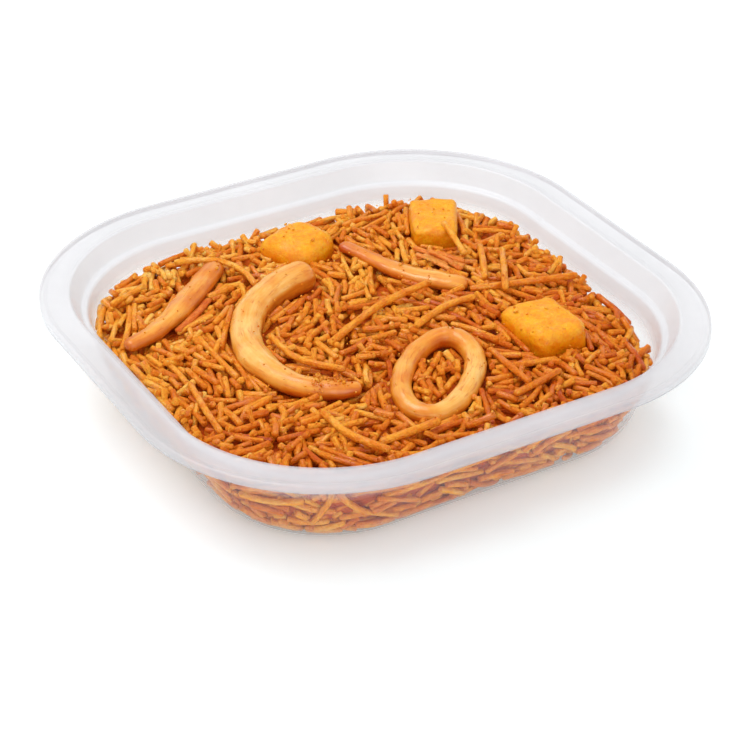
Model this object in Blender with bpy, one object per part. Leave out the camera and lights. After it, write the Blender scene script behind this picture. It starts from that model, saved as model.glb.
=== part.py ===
"""An open clear tray of short toasted noodles with squid and yellow chunks.

Sizes are in millimetres and become metres when a mesh is made. X runs along the
tray, Y across it, and the tray stands on Z = 0.
"""

import math

import bmesh
import bpy
import numpy as np
from mathutils import Euler, Vector
from mathutils.bvhtree import BVHTree

MM = 0.001

# The tray
HALF_LENGTH = 93.5
HALF_WIDTH = 90.0
CORNER_RADIUS = 60.5
RIM_HEIGHT = 37.2
SHEET = 0.6
LIP_WIDTH = 2.0
LIP_DROP = 2.0
FLANGE_INNER = 9.6
LEDGE_OUTER = 12.9
LEDGE_INNER = 15.2
LEDGE_DROP = 6.2
BASE_INSET = 20.0
BASE_RADIUS = 13.0
CORNER_STEPS = 11
ARC_STEPS = 5
# Where the wall below the ledge starts in the profile
WALL_START = 8

# The heap of noodles
GAP = 0.35
WALL_LEVEL = 25.2
DOME = 2.3
LOW_CORNER = (80.0, -42.0)
LOW_DEPTH = 4.0
LOW_SPREAD = 26.0
CORE_DEPTH = 2.5
TOP_RINGS = 8
NOODLE_RADIUS = 1.15
NOODLE_SIDES = 5
NOODLE_PARTS = 3
NOODLE_COUNT = 122
NOODLE_LONGEST = 34.0
NOODLE_SHORTEST = 13.0
NOODLE_SINK = 0.55
NOODLE_RISE = 0.9
MAP_STEP = 0.75
SEED = 11

# The squid ring, an oval of round section that leans a little
RING_CENTRE = (2.2, -35.9, 27.0)
RING_HALF_LONG = 19.6
RING_HALF_SHORT = 10.8
RING_YAW = 47.0
RING_LEAN = 4.0
RING_TUBE = 3.4
RING_STEPS = 26

# The open squid curl: centre line and half widths, from its thick end to its thin end
CURL_PATH = (
    (-5.5, 35.8),
    (-13.0, 33.9),
    (-21.2, 30.2),
    (-29.4, 23.9),
    (-36.4, 14.4),
    (-40.4, 4.6),
    (-41.4, -4.8),
    (-40.3, -14.0),
    (-37.2, -21.0),
    (-32.6, -26.3),
    (-27.0, -30.0),
    (-23.6, -31.3),
)
CURL_LEVEL = 28.0
CURL_HALVES = (6.2, 5.5, 5.15, 5.1, 4.0, 2.8)
CURL_FLATTEN = 0.84
CURL_STEPS = 18
STRIP_STEPS = 12
STRIP_FLATTEN = 0.7
SQUID_SIDES = 8

# The two squid strips
LEFT_STRIP_PATH = (
    (-27.2, 55.2),
    (-34.6, 48.6),
    (-42.6, 42.0),
    (-50.4, 35.9),
    (-57.6, 31.0),
    (-64.1, 27.9),
    (-70.0, 26.4),
)
LEFT_STRIP_LEVEL = 27.4
LEFT_STRIP_HALF = 4.3
BACK_STRIP_PATH = (
    (16.9, 45.4),
    (19.0, 38.8),
    (21.0, 31.5),
    (23.2, 24.6),
    (26.2, 18.4),
    (29.8, 13.2),
    (33.4, 9.0),
    (36.4, 5.8),
)
BACK_STRIP_LEVEL = 28.0
BACK_STRIP_HALF = 3.7

# The yellow chunks: centre, size, yaw, corner radius
CHUNK_RIGHT = ((44.8, -30.0, 26.5), (19.5, 23.5, 12.4), 2.0, 3.6)
CHUNK_BACK_RIGHT = ((50.3, 44.5, 25.9), (15.7, 23.4, 12.4), -29.0, 1.9)
CHUNK_BACK_LEFT = ((4.2, 54.2, 26.6), (20.5, 20.0, 12.2), 24.0, 5.2)

# Colours, as linear values
TRAY_COLOUR = (0.86, 0.87, 0.88)
NOODLE_COLOUR = (0.56, 0.20, 0.045)
SQUID_COLOUR = (0.78, 0.43, 0.15)
CHUNK_COLOUR = (0.83, 0.42, 0.03)


def clear_scene():
    for obj in list(bpy.data.objects):
        bpy.data.objects.remove(obj, do_unlink=True)


def material(name, colour, roughness, alpha=1.0):
    mat = bpy.data.materials.new(name)
    mat.use_nodes = True
    shader = mat.node_tree.nodes["Principled BSDF"]
    shader.inputs["Base Color"].default_value = (*colour, 1.0)
    shader.inputs["Roughness"].default_value = roughness
    shader.inputs["Metallic"].default_value = 0.0
    shader.inputs["Alpha"].default_value = alpha
    mat.diffuse_color = (*colour, alpha)
    return mat


def add_object(name, mesh, mat=None, smooth=False):
    obj = bpy.data.objects.new(name, mesh)
    bpy.context.scene.collection.objects.link(obj)
    if mat:
        mesh.materials.append(mat)
    for face in mesh.polygons:
        face.use_smooth = smooth
    return obj


def loft(name, rings, closed=False):
    """A body through rings of points, each bridged to the next, with filled or joined ends."""
    work = bmesh.new()
    loops = []
    for ring in rings:
        verts = [work.verts.new(Vector(point) * MM) for point in ring]
        loops.append([work.edges.new((verts[i - 1], verts[i])) for i in range(len(verts))])
    pairs = list(zip(loops, loops[1:]))
    if closed:
        pairs.append((loops[-1], loops[0]))
    for first, second in pairs:
        bmesh.ops.bridge_loops(work, edges=first + second)
    if not closed:
        bmesh.ops.edgeloop_fill(work, edges=loops[0])
        bmesh.ops.edgeloop_fill(work, edges=loops[-1])
    bmesh.ops.recalc_face_normals(work, faces=work.faces)
    mesh = bpy.data.meshes.new(name)
    work.to_mesh(mesh)
    work.free()
    return mesh


def outline(inset):
    """The tray's plan at this inset from its outermost edge, once round."""
    radius = CORNER_RADIUS - inset
    cx = HALF_LENGTH - CORNER_RADIUS
    cy = HALF_WIDTH - CORNER_RADIUS
    points = []
    for quarter, (sx, sy) in enumerate(((1, 1), (-1, 1), (-1, -1), (1, -1))):
        for step in range(CORNER_STEPS + 1):
            angle = math.radians(90 * (quarter + step / CORNER_STEPS))
            x = sx * cx + radius * math.cos(angle)
            y = sy * cy + radius * math.sin(angle)
            points.append((x, y))
    return points


def inner_profile():
    """The tray's upper surface as (inset, height), from the lip to the floor."""
    top = RIM_HEIGHT
    path = [
        (0.0, top - LIP_DROP),
        (0.35, top - 0.45 * LIP_DROP),
        (LIP_WIDTH, top),
        (FLANGE_INNER - 0.3, top),
        (FLANGE_INNER + 0.8, top - 1.0),
        (LEDGE_OUTER - 0.5, top - LEDGE_DROP + 0.9),
        (LEDGE_OUTER + 0.4, top - LEDGE_DROP),
        (LEDGE_INNER - 0.7, top - LEDGE_DROP - 0.2),
        (LEDGE_INNER, top - LEDGE_DROP - 1.2),
    ]
    radius = BASE_RADIUS - SHEET
    inset = BASE_INSET + BASE_RADIUS
    for step in range(ARC_STEPS + 1):
        angle = math.radians(16 + 74 * step / ARC_STEPS)
        path.append((inset - radius * math.cos(angle), BASE_RADIUS - radius * math.sin(angle)))
    return path


def offset_path(path, distance):
    """The same path moved sideways, to the tray's outer and lower side."""
    moved = []
    for i, (x, y) in enumerate(path):
        normals = []
        for a, b in ((i - 1, i), (i, i + 1)):
            if a < 0 or b >= len(path):
                continue
            dx = path[b][0] - path[a][0]
            dy = path[b][1] - path[a][1]
            length = math.hypot(dx, dy)
            normals.append((dy / length, -dx / length))
        nx = sum(n[0] for n in normals) / len(normals)
        ny = sum(n[1] for n in normals) / len(normals)
        scale = distance / (nx * nx + ny * ny)
        moved.append((x + nx * scale, y + ny * scale))
    return moved


def build_tray(mat):
    upper = inner_profile()
    lower = offset_path(upper, SHEET)
    rings = []
    for inset, z in list(reversed(upper)) + lower:
        rings.append([(x, y, z) for x, y in outline(inset)])
    return add_object("tray", loft("tray", rings), mat, smooth=True)


def wall_inset(z):
    """The inset of the tray's inner wall at a height."""
    path = inner_profile()[WALL_START:]
    heights = np.array([p[1] for p in path])[::-1]
    insets = np.array([p[0] for p in path])[::-1]
    return np.interp(z, heights, insets)


def depth_inside(x, y, inset):
    """How far a point is inside the tray's plan at an inset, less than 0 outside."""
    radius = CORNER_RADIUS - inset
    qx = np.abs(x) - (HALF_LENGTH - CORNER_RADIUS)
    qy = np.abs(y) - (HALF_WIDTH - CORNER_RADIUS)
    out = np.hypot(np.maximum(qx, 0), np.maximum(qy, 0)) + np.minimum(np.maximum(qx, qy), 0)
    return radius - out


def heap_level(x, y):
    """The height of the noodles' tops over the tray."""
    inside = depth_inside(x, y, LEDGE_INNER) / (CORNER_RADIUS - LEDGE_INNER)
    rise = 1 - (1 - np.clip(inside, 0, 1)) ** 2
    away = np.hypot(x - LOW_CORNER[0], y - LOW_CORNER[1])
    low = LOW_DEPTH * np.exp(-((away / LOW_SPREAD) ** 2))
    return WALL_LEVEL + DOME * rise - low


def core_level(x, y):
    return heap_level(x, y) - CORE_DEPTH


def build_core(mat):
    """The heap without its loose pieces: floor, wall side and domed top."""
    side = offset_path(inner_profile(), -GAP)[:WALL_START - 1:-1]
    rings = []
    for inset, z in side[:-1]:
        rings.append([(x, y, z) for x, y in outline(inset)])
    (low_inset, low), (high_inset, high) = side[-2:]
    ring = []
    for i, (x, y) in enumerate(outline(high_inset)):
        z = float(core_level(x, y))
        inset = low_inset + (high_inset - low_inset) * (z - low) / (high - low)
        ring.append((*outline(inset)[i], z))
    rings.append(ring)
    edge = rings[-1]
    for step in range(1, TOP_RINGS):
        scale = 1 - step / TOP_RINGS
        plan = [(x * scale, y * scale) for x, y, _ in edge]
        rings.append([(x, y, float(core_level(x, y))) for x, y in plan])
    return add_object("noodles", loft("noodles", rings), mat)


def swept(name, path, half_widths, half_heights, closed=False):
    """A body of oval section along a path, with rounded ends."""
    path = [np.array(p, float) for p in path]
    stations = []
    total = len(path)
    for i, p in enumerate(path):
        before = path[i - 1] if closed or i else p
        after = path[(i + 1) % total] if closed or i < total - 1 else p
        along = (after - before) / np.linalg.norm(after - before)
        stations.append((p, along, half_widths[i], half_heights[i]))
    if not closed:
        for end, sign in ((0, -1), (-1, 1)):
            p, along, w, h = stations[end]
            extra = []
            for reach, size in ((0.45, 0.86), (0.78, 0.5)):
                extra.append((p + along * sign * w * reach, along, w * size, h * size))
            stations = list(reversed(extra)) + stations if end == 0 else stations + extra
    rings = []
    for p, along, w, h in stations:
        side = np.cross(along, (0, 0, 1))
        side /= np.linalg.norm(side)
        up = np.cross(side, along)
        ring = []
        for k in range(SQUID_SIDES):
            angle = 2 * math.pi * k / SQUID_SIDES
            ring.append(p + side * w * math.cos(angle) + up * h * math.sin(angle))
        rings.append(ring)
    return loft(name, rings, closed)


def smooth_path(path, level, steps):
    """A finer path through the given plan points, at one height."""
    plan = np.array(path, float)
    length = np.r_[0, np.cumsum(np.linalg.norm(np.diff(plan, axis=0), axis=1))]
    fine = np.linspace(0, length[-1], steps)
    slopes = np.gradient(plan, length, axis=0)
    out = []
    for s in fine:
        i = min(int(np.searchsorted(length, s, side="right")) - 1, len(plan) - 2)
        span = length[i + 1] - length[i]
        t = (s - length[i]) / span
        a = (2 * t**3 - 3 * t**2 + 1) * plan[i] + (t**3 - 2 * t**2 + t) * span * slopes[i]
        b = (-2 * t**3 + 3 * t**2) * plan[i + 1] + (t**3 - t**2) * span * slopes[i + 1]
        out.append((*(a + b), level))
    return out


def squid_ring(grow):
    yaw = math.radians(RING_YAW)
    lean = math.radians(RING_LEAN)
    path = []
    widths = []
    for i in range(RING_STEPS):
        angle = 2 * math.pi * i / RING_STEPS
        u = RING_HALF_LONG * math.cos(angle)
        v = RING_HALF_SHORT * math.sin(angle)
        x = u * math.cos(yaw) - v * math.sin(yaw)
        y = u * math.sin(yaw) + v * math.cos(yaw)
        path.append((RING_CENTRE[0] + x, RING_CENTRE[1] + y, RING_CENTRE[2] + u * math.sin(lean)))
        widths.append(RING_TUBE * (1 + 0.05 * math.cos(angle - 1.0)) + grow)
    return swept("squid_ring", path, widths, widths, closed=True)


def squid_curl(grow):
    path = smooth_path(CURL_PATH, CURL_LEVEL, CURL_STEPS)
    marks = np.linspace(0, 1, len(CURL_HALVES))
    widths = np.interp(np.linspace(0, 1, CURL_STEPS), marks, CURL_HALVES)
    heights = [w * CURL_FLATTEN + grow for w in widths]
    return swept("squid_curl", path, [w + grow for w in widths], heights)


def squid_strip(name, path, level, half, bulge, grow):
    """A flat strip, fullest where the bulge says, between 0 and 1."""
    points = smooth_path(path, level, STRIP_STEPS)
    widths = []
    for i in range(STRIP_STEPS):
        t = i / (STRIP_STEPS - 1)
        widths.append(half * (0.86 + 0.14 * math.cos(math.pi * min(1, abs(t - bulge) * 1.6))))
    heights = [w * STRIP_FLATTEN + grow for w in widths]
    return swept(name, points, [w + grow for w in widths], heights)


def chunk_mesh(name, centre, size, yaw, radius, grow):
    """A cut block with rounded edges and slightly uneven faces."""
    work = bmesh.new()
    bmesh.ops.create_cube(work, size=2.0)
    half = [s * 0.5 + grow for s in size]
    for vert in work.verts:
        x, y, z = vert.co
        taper = 1.0 if z > 0 else 0.92
        vert.co = Vector((x * half[0] * taper, y * half[1] * taper, z * half[2])) * MM
        vert.co.x *= 1 + 0.03 * y
        vert.co.y *= 1 - 0.03 * x
    bmesh.ops.bevel(
        work,
        geom=list(work.edges),
        offset=(radius + grow) * MM,
        segments=3,
        affect="EDGES",
        profile=0.5,
        material=-1,
    )
    turn = Euler((0.0, 0.0, math.radians(yaw))).to_matrix().to_4x4()
    bmesh.ops.transform(work, matrix=turn, verts=work.verts)
    bmesh.ops.translate(work, vec=Vector(centre) * MM, verts=work.verts)
    bmesh.ops.recalc_face_normals(work, faces=work.faces)
    mesh = bpy.data.meshes.new(name)
    work.to_mesh(mesh)
    work.free()
    return mesh


def topping_meshes(grow=0.0):
    """Each topping's mesh by name, made larger all round by grow."""
    left = (LEFT_STRIP_PATH, LEFT_STRIP_LEVEL, LEFT_STRIP_HALF, 0.35)
    back = (BACK_STRIP_PATH, BACK_STRIP_LEVEL, BACK_STRIP_HALF, 0.75)
    return {
        "squid_ring": squid_ring(grow),
        "squid_curl": squid_curl(grow),
        "squid_strip_left": squid_strip("squid_strip_left", *left, grow),
        "squid_strip_back": squid_strip("squid_strip_back", *back, grow),
        "chunk_right": chunk_mesh("chunk_right", *CHUNK_RIGHT, grow),
        "chunk_back_right": chunk_mesh("chunk_back_right", *CHUNK_BACK_RIGHT, grow),
        "chunk_back_left": chunk_mesh("chunk_back_left", *CHUNK_BACK_LEFT, grow),
    }


def join_by_boolean(target, parts, operation):
    """One Boolean with all the parts, applied, and the parts removed."""
    group = bpy.data.collections.new("helpers")
    bpy.context.scene.collection.children.link(group)
    for part in parts:
        for owner in list(part.users_collection):
            owner.objects.unlink(part)
        group.objects.link(part)
    modifier = target.modifiers.new("join", "BOOLEAN")
    modifier.operand_type = "COLLECTION"
    modifier.collection = group
    modifier.operation = operation
    modifier.solver = "EXACT"
    graph = bpy.context.evaluated_depsgraph_get()
    result = bpy.data.meshes.new_from_object(target.evaluated_get(graph))
    target.modifiers.clear()
    old = target.data
    target.data = result
    bpy.data.meshes.remove(old)
    for part in parts:
        bpy.data.objects.remove(part, do_unlink=True)
    bpy.data.collections.remove(group)


def keep_largest(target):
    """Fills sealed hollows and drops scraps: only the largest shell stays."""
    work = bmesh.new()
    work.from_mesh(target.data)
    left = set(work.faces)
    shells = []
    while left:
        seed = left.pop()
        shell = [seed]
        queue = [seed]
        while queue:
            face = queue.pop()
            for edge in face.edges:
                for near in edge.link_faces:
                    if near in left:
                        left.remove(near)
                        shell.append(near)
                        queue.append(near)
        shells.append(shell)
    shells.sort(key=len)
    for shell in shells[:-1]:
        bmesh.ops.delete(work, geom=shell, context="FACES")
    work.to_mesh(target.data)
    work.free()


def noodle_piece(centre, yaw, length, bend, ground):
    """A noodle's centre line, laid on the ground map, or nothing where it can't lie."""
    shares = np.linspace(-0.5, 0.5, NOODLE_PARTS + 1)
    turn = yaw + bend * shares
    step = length / NOODLE_PARTS
    x = np.cumsum(np.r_[0, np.cos(turn[:-1] + bend / 6)]) * step
    y = np.cumsum(np.r_[0, np.sin(turn[:-1] + bend / 6)]) * step
    x += centre[0] - x.mean()
    y += centre[1] - y.mean()
    fine = np.linspace(0, NOODLE_PARTS, 19)
    fx = np.interp(fine, np.arange(NOODLE_PARTS + 1), x)
    fy = np.interp(fine, np.arange(NOODLE_PARTS + 1), y)
    under = ground.at(fx, fy)
    along = (fine / NOODLE_PARTS - 0.5) * length
    slope = np.clip(np.polyfit(along, under, 1)[0], -0.16, 0.16)
    base = np.max(under + NOODLE_RADIUS - NOODLE_SINK - slope * along)
    z = base + slope * (np.arange(NOODLE_PARTS + 1) / NOODLE_PARTS - 0.5) * length
    return np.c_[x, y, z], np.c_[fx, fy, base + slope * along]


class Ground:
    """Heights of what already lies in the tray, on a square grid."""

    def __init__(self):
        self.xs = np.arange(-HALF_LENGTH, HALF_LENGTH, MAP_STEP)
        self.ys = np.arange(-HALF_WIDTH, HALF_WIDTH, MAP_STEP)
        self.gx, self.gy = np.meshgrid(self.xs, self.ys)
        self.heights = core_level(self.gx, self.gy)

    def at(self, x, y):
        i = np.clip(((x + HALF_LENGTH) / MAP_STEP).round().astype(int), 0, len(self.xs) - 1)
        j = np.clip(((y + HALF_WIDTH) / MAP_STEP).round().astype(int), 0, len(self.ys) - 1)
        return self.heights[j, i]

    def add(self, line):
        for x, y, z in line:
            away = np.hypot(self.gx - x, self.gy - y)
            near = away < NOODLE_RADIUS
            top = z + np.sqrt(np.maximum(NOODLE_RADIUS**2 - away[near] ** 2, 0))
            self.heights[near] = np.maximum(self.heights[near], top)


def noodle_fits(line, trees):
    """Whether a noodle stays in the heap, off the wall and off the toppings."""
    x, y, z = line.T
    if (z + NOODLE_RADIUS > heap_level(x, y) + NOODLE_RISE).any():
        return False
    room = depth_inside(x, y, wall_inset(z - 0.5))
    if (room < NOODLE_RADIUS + GAP + 0.35).any():
        return False
    for point in line:
        spot = Vector(point) * MM
        for tree in trees:
            found, normal, _, distance = tree.find_nearest(spot, 0.03)
            if found is None:
                continue
            if distance < (NOODLE_RADIUS + GAP + 0.1) * MM or (spot - found).dot(normal) < 0:
                return False
    return True


def noodle_solids(toppings):
    """The loose noodles: the longest first, each where the heap is barest."""
    draw = np.random.default_rng(SEED)
    trees = []
    for mesh in toppings:
        points = [v.co for v in mesh.vertices]
        trees.append(BVHTree.FromPolygons(points, [tuple(p.vertices) for p in mesh.polygons]))
    ground = Ground()
    placed = []
    centres = np.empty((0, 2))
    for index in range(NOODLE_COUNT):
        share = index / (NOODLE_COUNT - 1)
        length = NOODLE_LONGEST + (NOODLE_SHORTEST - NOODLE_LONGEST) * share**0.55
        found = None
        for _ in range(60):
            spots = draw.uniform((-78, -75), (78, 75), (14, 2))
            if len(centres):
                gaps = np.linalg.norm(spots[:, None] - centres[None], axis=2).min(axis=1)
                spots = spots[np.argsort(-gaps)]
            for spot in spots[:4]:
                yaw = draw.uniform(0, math.pi)
                bend = draw.normal(0, 0.28)
                corners, line = noodle_piece(spot, yaw, length, bend, ground)
                if noodle_fits(line, trees):
                    found = (spot, corners, line)
                    break
            if found:
                break
        if not found:
            continue
        spot, corners, line = found
        ground.add(line)
        centres = np.vstack([centres, spot])
        placed.append(corners)
    parts = []
    for i, corners in enumerate(placed):
        rings = noodle_rings(corners, draw.uniform(0, math.pi))
        parts.append(add_object(f"loose_{i}", loft(f"loose_{i}", rings)))
    return parts


def noodle_rings(corners, roll):
    """One noodle's rings, with flat cut ends, turned about its axis by roll."""
    rings = []
    for i, corner in enumerate(corners):
        before = corners[max(i - 1, 0)]
        after = corners[min(i + 1, len(corners) - 1)]
        along = (after - before) / np.linalg.norm(after - before)
        side = np.cross(along, (0, 0, 1))
        side /= np.linalg.norm(side)
        up = np.cross(side, along)
        ring = []
        for k in range(NOODLE_SIDES):
            angle = roll + 2 * math.pi * k / NOODLE_SIDES
            ring.append(corner + NOODLE_RADIUS * (side * math.cos(angle) + up * math.sin(angle)))
        rings.append(ring)
    return rings


def build():
    clear_scene()
    clear_plastic = material("tray_plastic", TRAY_COLOUR, 0.25, 0.35)
    pasta = material("toasted_noodle", NOODLE_COLOUR, 0.42)
    squid = material("cooked_squid", SQUID_COLOUR, 0.35)
    chunk = material("yellow_chunk", CHUNK_COLOUR, 0.45)

    build_tray(clear_plastic)
    core = build_core(pasta)

    meshes = topping_meshes()
    for name, mesh in meshes.items():
        add_object(name, mesh, squid if name.startswith("squid") else chunk, smooth=True)

    cutters = []
    for name, mesh in topping_meshes(GAP + 0.05).items():
        cutters.append(add_object(f"dent_{name}", mesh))
    join_by_boolean(core, cutters, "DIFFERENCE")
    join_by_boolean(core, noodle_solids(list(meshes.values())), "UNION")
    keep_largest(core)
    if not core.data.materials:
        core.data.materials.append(pasta)


build()
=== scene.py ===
"""Dresses the tray of toasted noodles: milky sheet, piled noodles, squid and yellow chunks.

Sizes are in millimetres, and a mesh becomes metres when its piece is made.
"""

import math

import bmesh
import bpy
import numpy as np
from mathutils import Matrix, Vector, noise


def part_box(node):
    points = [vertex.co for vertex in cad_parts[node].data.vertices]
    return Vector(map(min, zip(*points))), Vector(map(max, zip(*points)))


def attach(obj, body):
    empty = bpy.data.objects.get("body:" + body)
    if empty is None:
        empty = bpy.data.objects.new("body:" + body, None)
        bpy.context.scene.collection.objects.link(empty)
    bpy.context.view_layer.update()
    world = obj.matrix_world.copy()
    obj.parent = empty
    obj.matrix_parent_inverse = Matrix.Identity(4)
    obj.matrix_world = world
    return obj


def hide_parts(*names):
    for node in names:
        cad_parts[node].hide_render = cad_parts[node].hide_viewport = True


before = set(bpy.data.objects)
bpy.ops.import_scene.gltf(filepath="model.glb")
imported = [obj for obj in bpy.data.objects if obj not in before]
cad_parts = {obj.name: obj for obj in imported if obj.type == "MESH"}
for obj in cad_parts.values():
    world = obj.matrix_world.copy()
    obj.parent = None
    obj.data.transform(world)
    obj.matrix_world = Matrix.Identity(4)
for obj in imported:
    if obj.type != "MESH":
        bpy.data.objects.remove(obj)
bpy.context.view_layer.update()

MM = 0.001
UP = (0.0, 0.0, 1.0)

# The tray: its outer sizes come from its CAD node, and an inset is measured from its outermost edge
TRAY_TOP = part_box("tray")[1]
HALF_LENGTH = TRAY_TOP.x / MM
HALF_WIDTH = TRAY_TOP.y / MM
RIM = TRAY_TOP.z / MM
CORNER = 60.5
SHEET = 0.6
LIP = 2.0
FLANGE_INNER = 9.3
LEDGE_OUTER = 12.9
LEDGE_INNER = 15.2
LEDGE = RIM - 6.3
BASE_INSET = 20.0
BASE_RADIUS = 13.0
CORNER_STEPS = 36
SIDE_STEPS = 12
BASE_CENTRE = (BASE_INSET + BASE_RADIUS, BASE_RADIUS)

# The heap of noodles: its level, its low corner, its core, and its height map's step and reach
WALL_LEVEL = 25.2
DOME = 2.3
LOW_CORNER = (80.0, -42.0)
LOW_DEPTH = 4.0
LOW_SPREAD = 26.0
CORE_DEPTH = 3.5
CORE_BACK = 2.8
# The core's low tone stands for sauce, and is also painted shade that darkens the gaps between noodles
CORE_SAUCE_AND_GAP_SHADE = 0.2
CORE_STEPS = 14
CORE_RINGS = 30
CORE_EDGE = 8.0
CORE_LUMP = 2.4
CORE_LUMP_DEPTH = 0.9
GRID = 0.4
FAR = 99.0
HEAP_REACH = (78, 75)
MAP_REACH = (82, 79)

# A noodle: its radius, its mesh, and how long, bent and waved it is
NOODLE = 1.0
NOODLE_SIDES = 6
NOODLE_BANDS = 5
NOODLE_END = 0.7
LINE_POINTS = 11
SHORTEST = 6.0
LONGEST = 32.0
BEND = 0.3
WAVE = 0.05
FLOW_SIZE = 33.0
FLOW_SPREAD = 0.5

# The rounds of noodles on top: each has its count and the rises allowed at its start and end, the fill
# round also the longest noodle and the tries, and the edge's round its count, its rise and its width
TOP_ROUNDS = ((1300, 0.7, 1.5), (700, 1.4, 2.7))
FILL_ROUND = (300, 0.3, 0.6, 8.0, 14)
END_ROUNDS = (220, 260)
EDGE_ROUND = (110, 3.6, 9.0)
END_RISE = 2.2
END_SINK = 0.6
END_TIP = 0.6
END_SLOPES = (20, 66)
TOP_TRIES = 4
TOP_SINK = 0.82
TOP_SLOPE = 0.55
TOPPING_ROOM = -0.6
EDGE_GAP = 3
WALL_GAP = 0.4
END_SHADE = (0.9, 0.1)

# The noodles on the wall and the floor, of which the later ones on the wall are shorter
WALL_COUNT = 1100
WALL_LONG = 0.42
WALL_TRIES = 4
SHORT_SHARE = 0.55
SHORT_TRIES = 12
WALL_DEPTH = 4.4
WALL_RISE = 0.4
WALL_SINK = 0.6
WALL_SLOPE = 0.25
WALL_MARGIN = 25.0
# Wall noodles get a lighter, flatter shade: painted light for the light that comes through the milky wall
WALL_SHADE_PAINTED_LIGHT = (0.7, 0.38)
ALONG_SHARE = 0.85
ALONG_SPREAD = 0.5
FLOOR_COUNT = 320
FLOOR_DEPTH = 3.2
FLOOR_SINK = 0.25

# Slivers of flesh, and grains of spice, which lie closer together on the curl's thin end
FLAKE_COUNT = 13
GRAIN_COUNT = 800
GRAIN_REACH = (74, 71)
CLUSTER_COUNT = 170
CLUSTER_SPOT = (-29.0, -25.5)
CLUSTER_SPREAD = (4.5, 2.2)

# The toppings: centre lines in plan, levels and half widths
RING_CENTRE = (2.2, -35.9, 27.0)
RING_HALF = (19.6, 10.8)
RING_YAW = 47.0
RING_LEAN = 4.0
RING_TUBE = 3.4
RING_FLAT = 0.97
CURL_LINE = (
    (-5.5, 35.8),
    (-13.0, 33.9),
    (-21.2, 30.2),
    (-29.4, 23.9),
    (-36.4, 14.4),
    (-40.4, 4.6),
    (-41.4, -4.8),
    (-40.3, -14.0),
    (-37.2, -21.0),
    (-32.6, -26.3),
    (-27.0, -30.0),
    (-23.6, -31.3),
)
CURL_LEVEL = 28.0
CURL_HALVES = (6.2, 5.5, 5.15, 5.1, 4.0, 2.8)
CURL_FLAT = 0.84
LEFT_LINE = (
    (-27.2, 55.2),
    (-34.6, 48.6),
    (-42.6, 42.0),
    (-50.4, 35.9),
    (-57.6, 31.0),
    (-64.1, 27.9),
    (-70.0, 26.4),
)
LEFT_LEVEL = 27.4
LEFT_HALF = 4.3
LEFT_FULLEST = 0.35
BACK_LINE = (
    (16.9, 45.4),
    (19.0, 38.8),
    (21.0, 31.5),
    (23.2, 24.6),
    (26.2, 18.4),
    (29.8, 13.2),
    (33.4, 9.0),
    (36.4, 5.8),
)
BACK_LEVEL = 28.0
BACK_HALF = 3.7
BACK_FULLEST = 0.75
STRIP_FLAT = 0.7
SQUID_SIDES = 28
SQUID_WRINKLES = ((4.6, 0.34), (1.4, 0.14))

# The yellow chunks: centre, size, turn and edge radius
CHUNKS = {
    "chunk_right": ((44.8, -30.0, 26.5), (19.5, 23.5, 12.4), 2.0, 3.8),
    "chunk_back_right": ((50.3, 44.5, 25.9), (15.7, 23.4, 12.4), -29.0, 2.1),
    "chunk_back_left": ((4.2, 54.2, 26.6), (20.5, 20.0, 12.2), 24.0, 5.4),
}
CHUNK_CUTS = 23
CHUNK_SKEW = 0.004
CHUNK_WRINKLES = ((8.0, 1.1), (2.2, 0.26), (0.8, 0.07))

# Single noodles that lie on the heap or over a topping: plan points, radius and shade
LAID_NOODLES = (
    (((71.4, -9.4), (53.0, -3.9), (37.1, 1.0)), 1.15, 0.62),
    (((-18.0, -5.6), (-8.3, -1.0), (7.9, 5.0), (25.4, 6.4)), 1.25, 0.60),
    (((9.1, -11.2), (27.9, -4.6), (35.0, -5.1)), 1.15, 0.68),
    (((-39.3, -38.3), (-38.3, -54.0), (-32.8, -66.0)), 1.18, 0.66),
    (((-31.3, -58.1), (-22.1, -59.4), (-12.4, -60.2)), 1.28, 0.74),
    (((-5.1, -63.0), (-1.1, -65.2), (2.6, -66.5)), 1.15, 0.60),
    (((-36.9, 64.0), (-24.9, 58.4), (-20.4, 45.9), (-21.5, 36.8)), 1.05, 0.66),
    (((-65.4, 50.7), (-59.9, 53.3), (-51.0, 57.1)), 1.05, 0.58),
    (((-65.2, -4.3), (-68.0, -22.5), (-69.0, -31.9)), 1.05, 0.56),
    (((-32.5, 6.3), (-31.5, -11.1), (-22.6, -22.8)), 1.05, 0.70),
    (((49.0, 36.3), (48.1, 27.3), (46.9, 19.4)), 1.15, 0.72),
    (((55.9, 24.3), (50.6, 14.2), (44.7, 4.0)), 1.15, 0.66),
    (((60.3, 17.8), (52.8, 5.2), (45.0, -7.3)), 1.15, 0.68),
    (((15.2, -57.8), (24.8, -55.8), (34.6, -53.1)), 1.15, 0.55),
    (((22.7, -32.8), (22.2, -44.6), (22.1, -55.5)), 1.1, 0.50),
)
FLAKE_LINE = ((34.5, 30.5), (38.5, 21.5), (42.4, 13.0))
SHRED_LINE = ((-37.5, 37.6), (-46.0, 31.2), (-54.5, 26.1))
SHRED_RADIUS = 1.3
SHRED_SHADE = 0.05
SHRED_FLAT = 0.55
SHRED_SINK = 0.6

# The camera, fitted to the tray's rim, ledge and base
CAMERA_AZIMUTH = -30.39
CAMERA_ELEVATION = 32.13
CAMERA_DISTANCE = 718.7
CAMERA_AIM = (7.88, 15.87, 0.0)
CAMERA_LENS = 108.23

# The light: each lamp's name, place in metres, size and power, and how bright the room and the table are
LAMPS = (
    ("key", (-0.34, 0.48, 1.38), 0.9, 10.8),
    ("fill", (-0.4, -1.2, 0.8), 1.0, 5.0),
)
ROOM_LIGHT = 0.76
TABLE_GLOW = 0.23
TABLE_SIZE = 4.0


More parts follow.
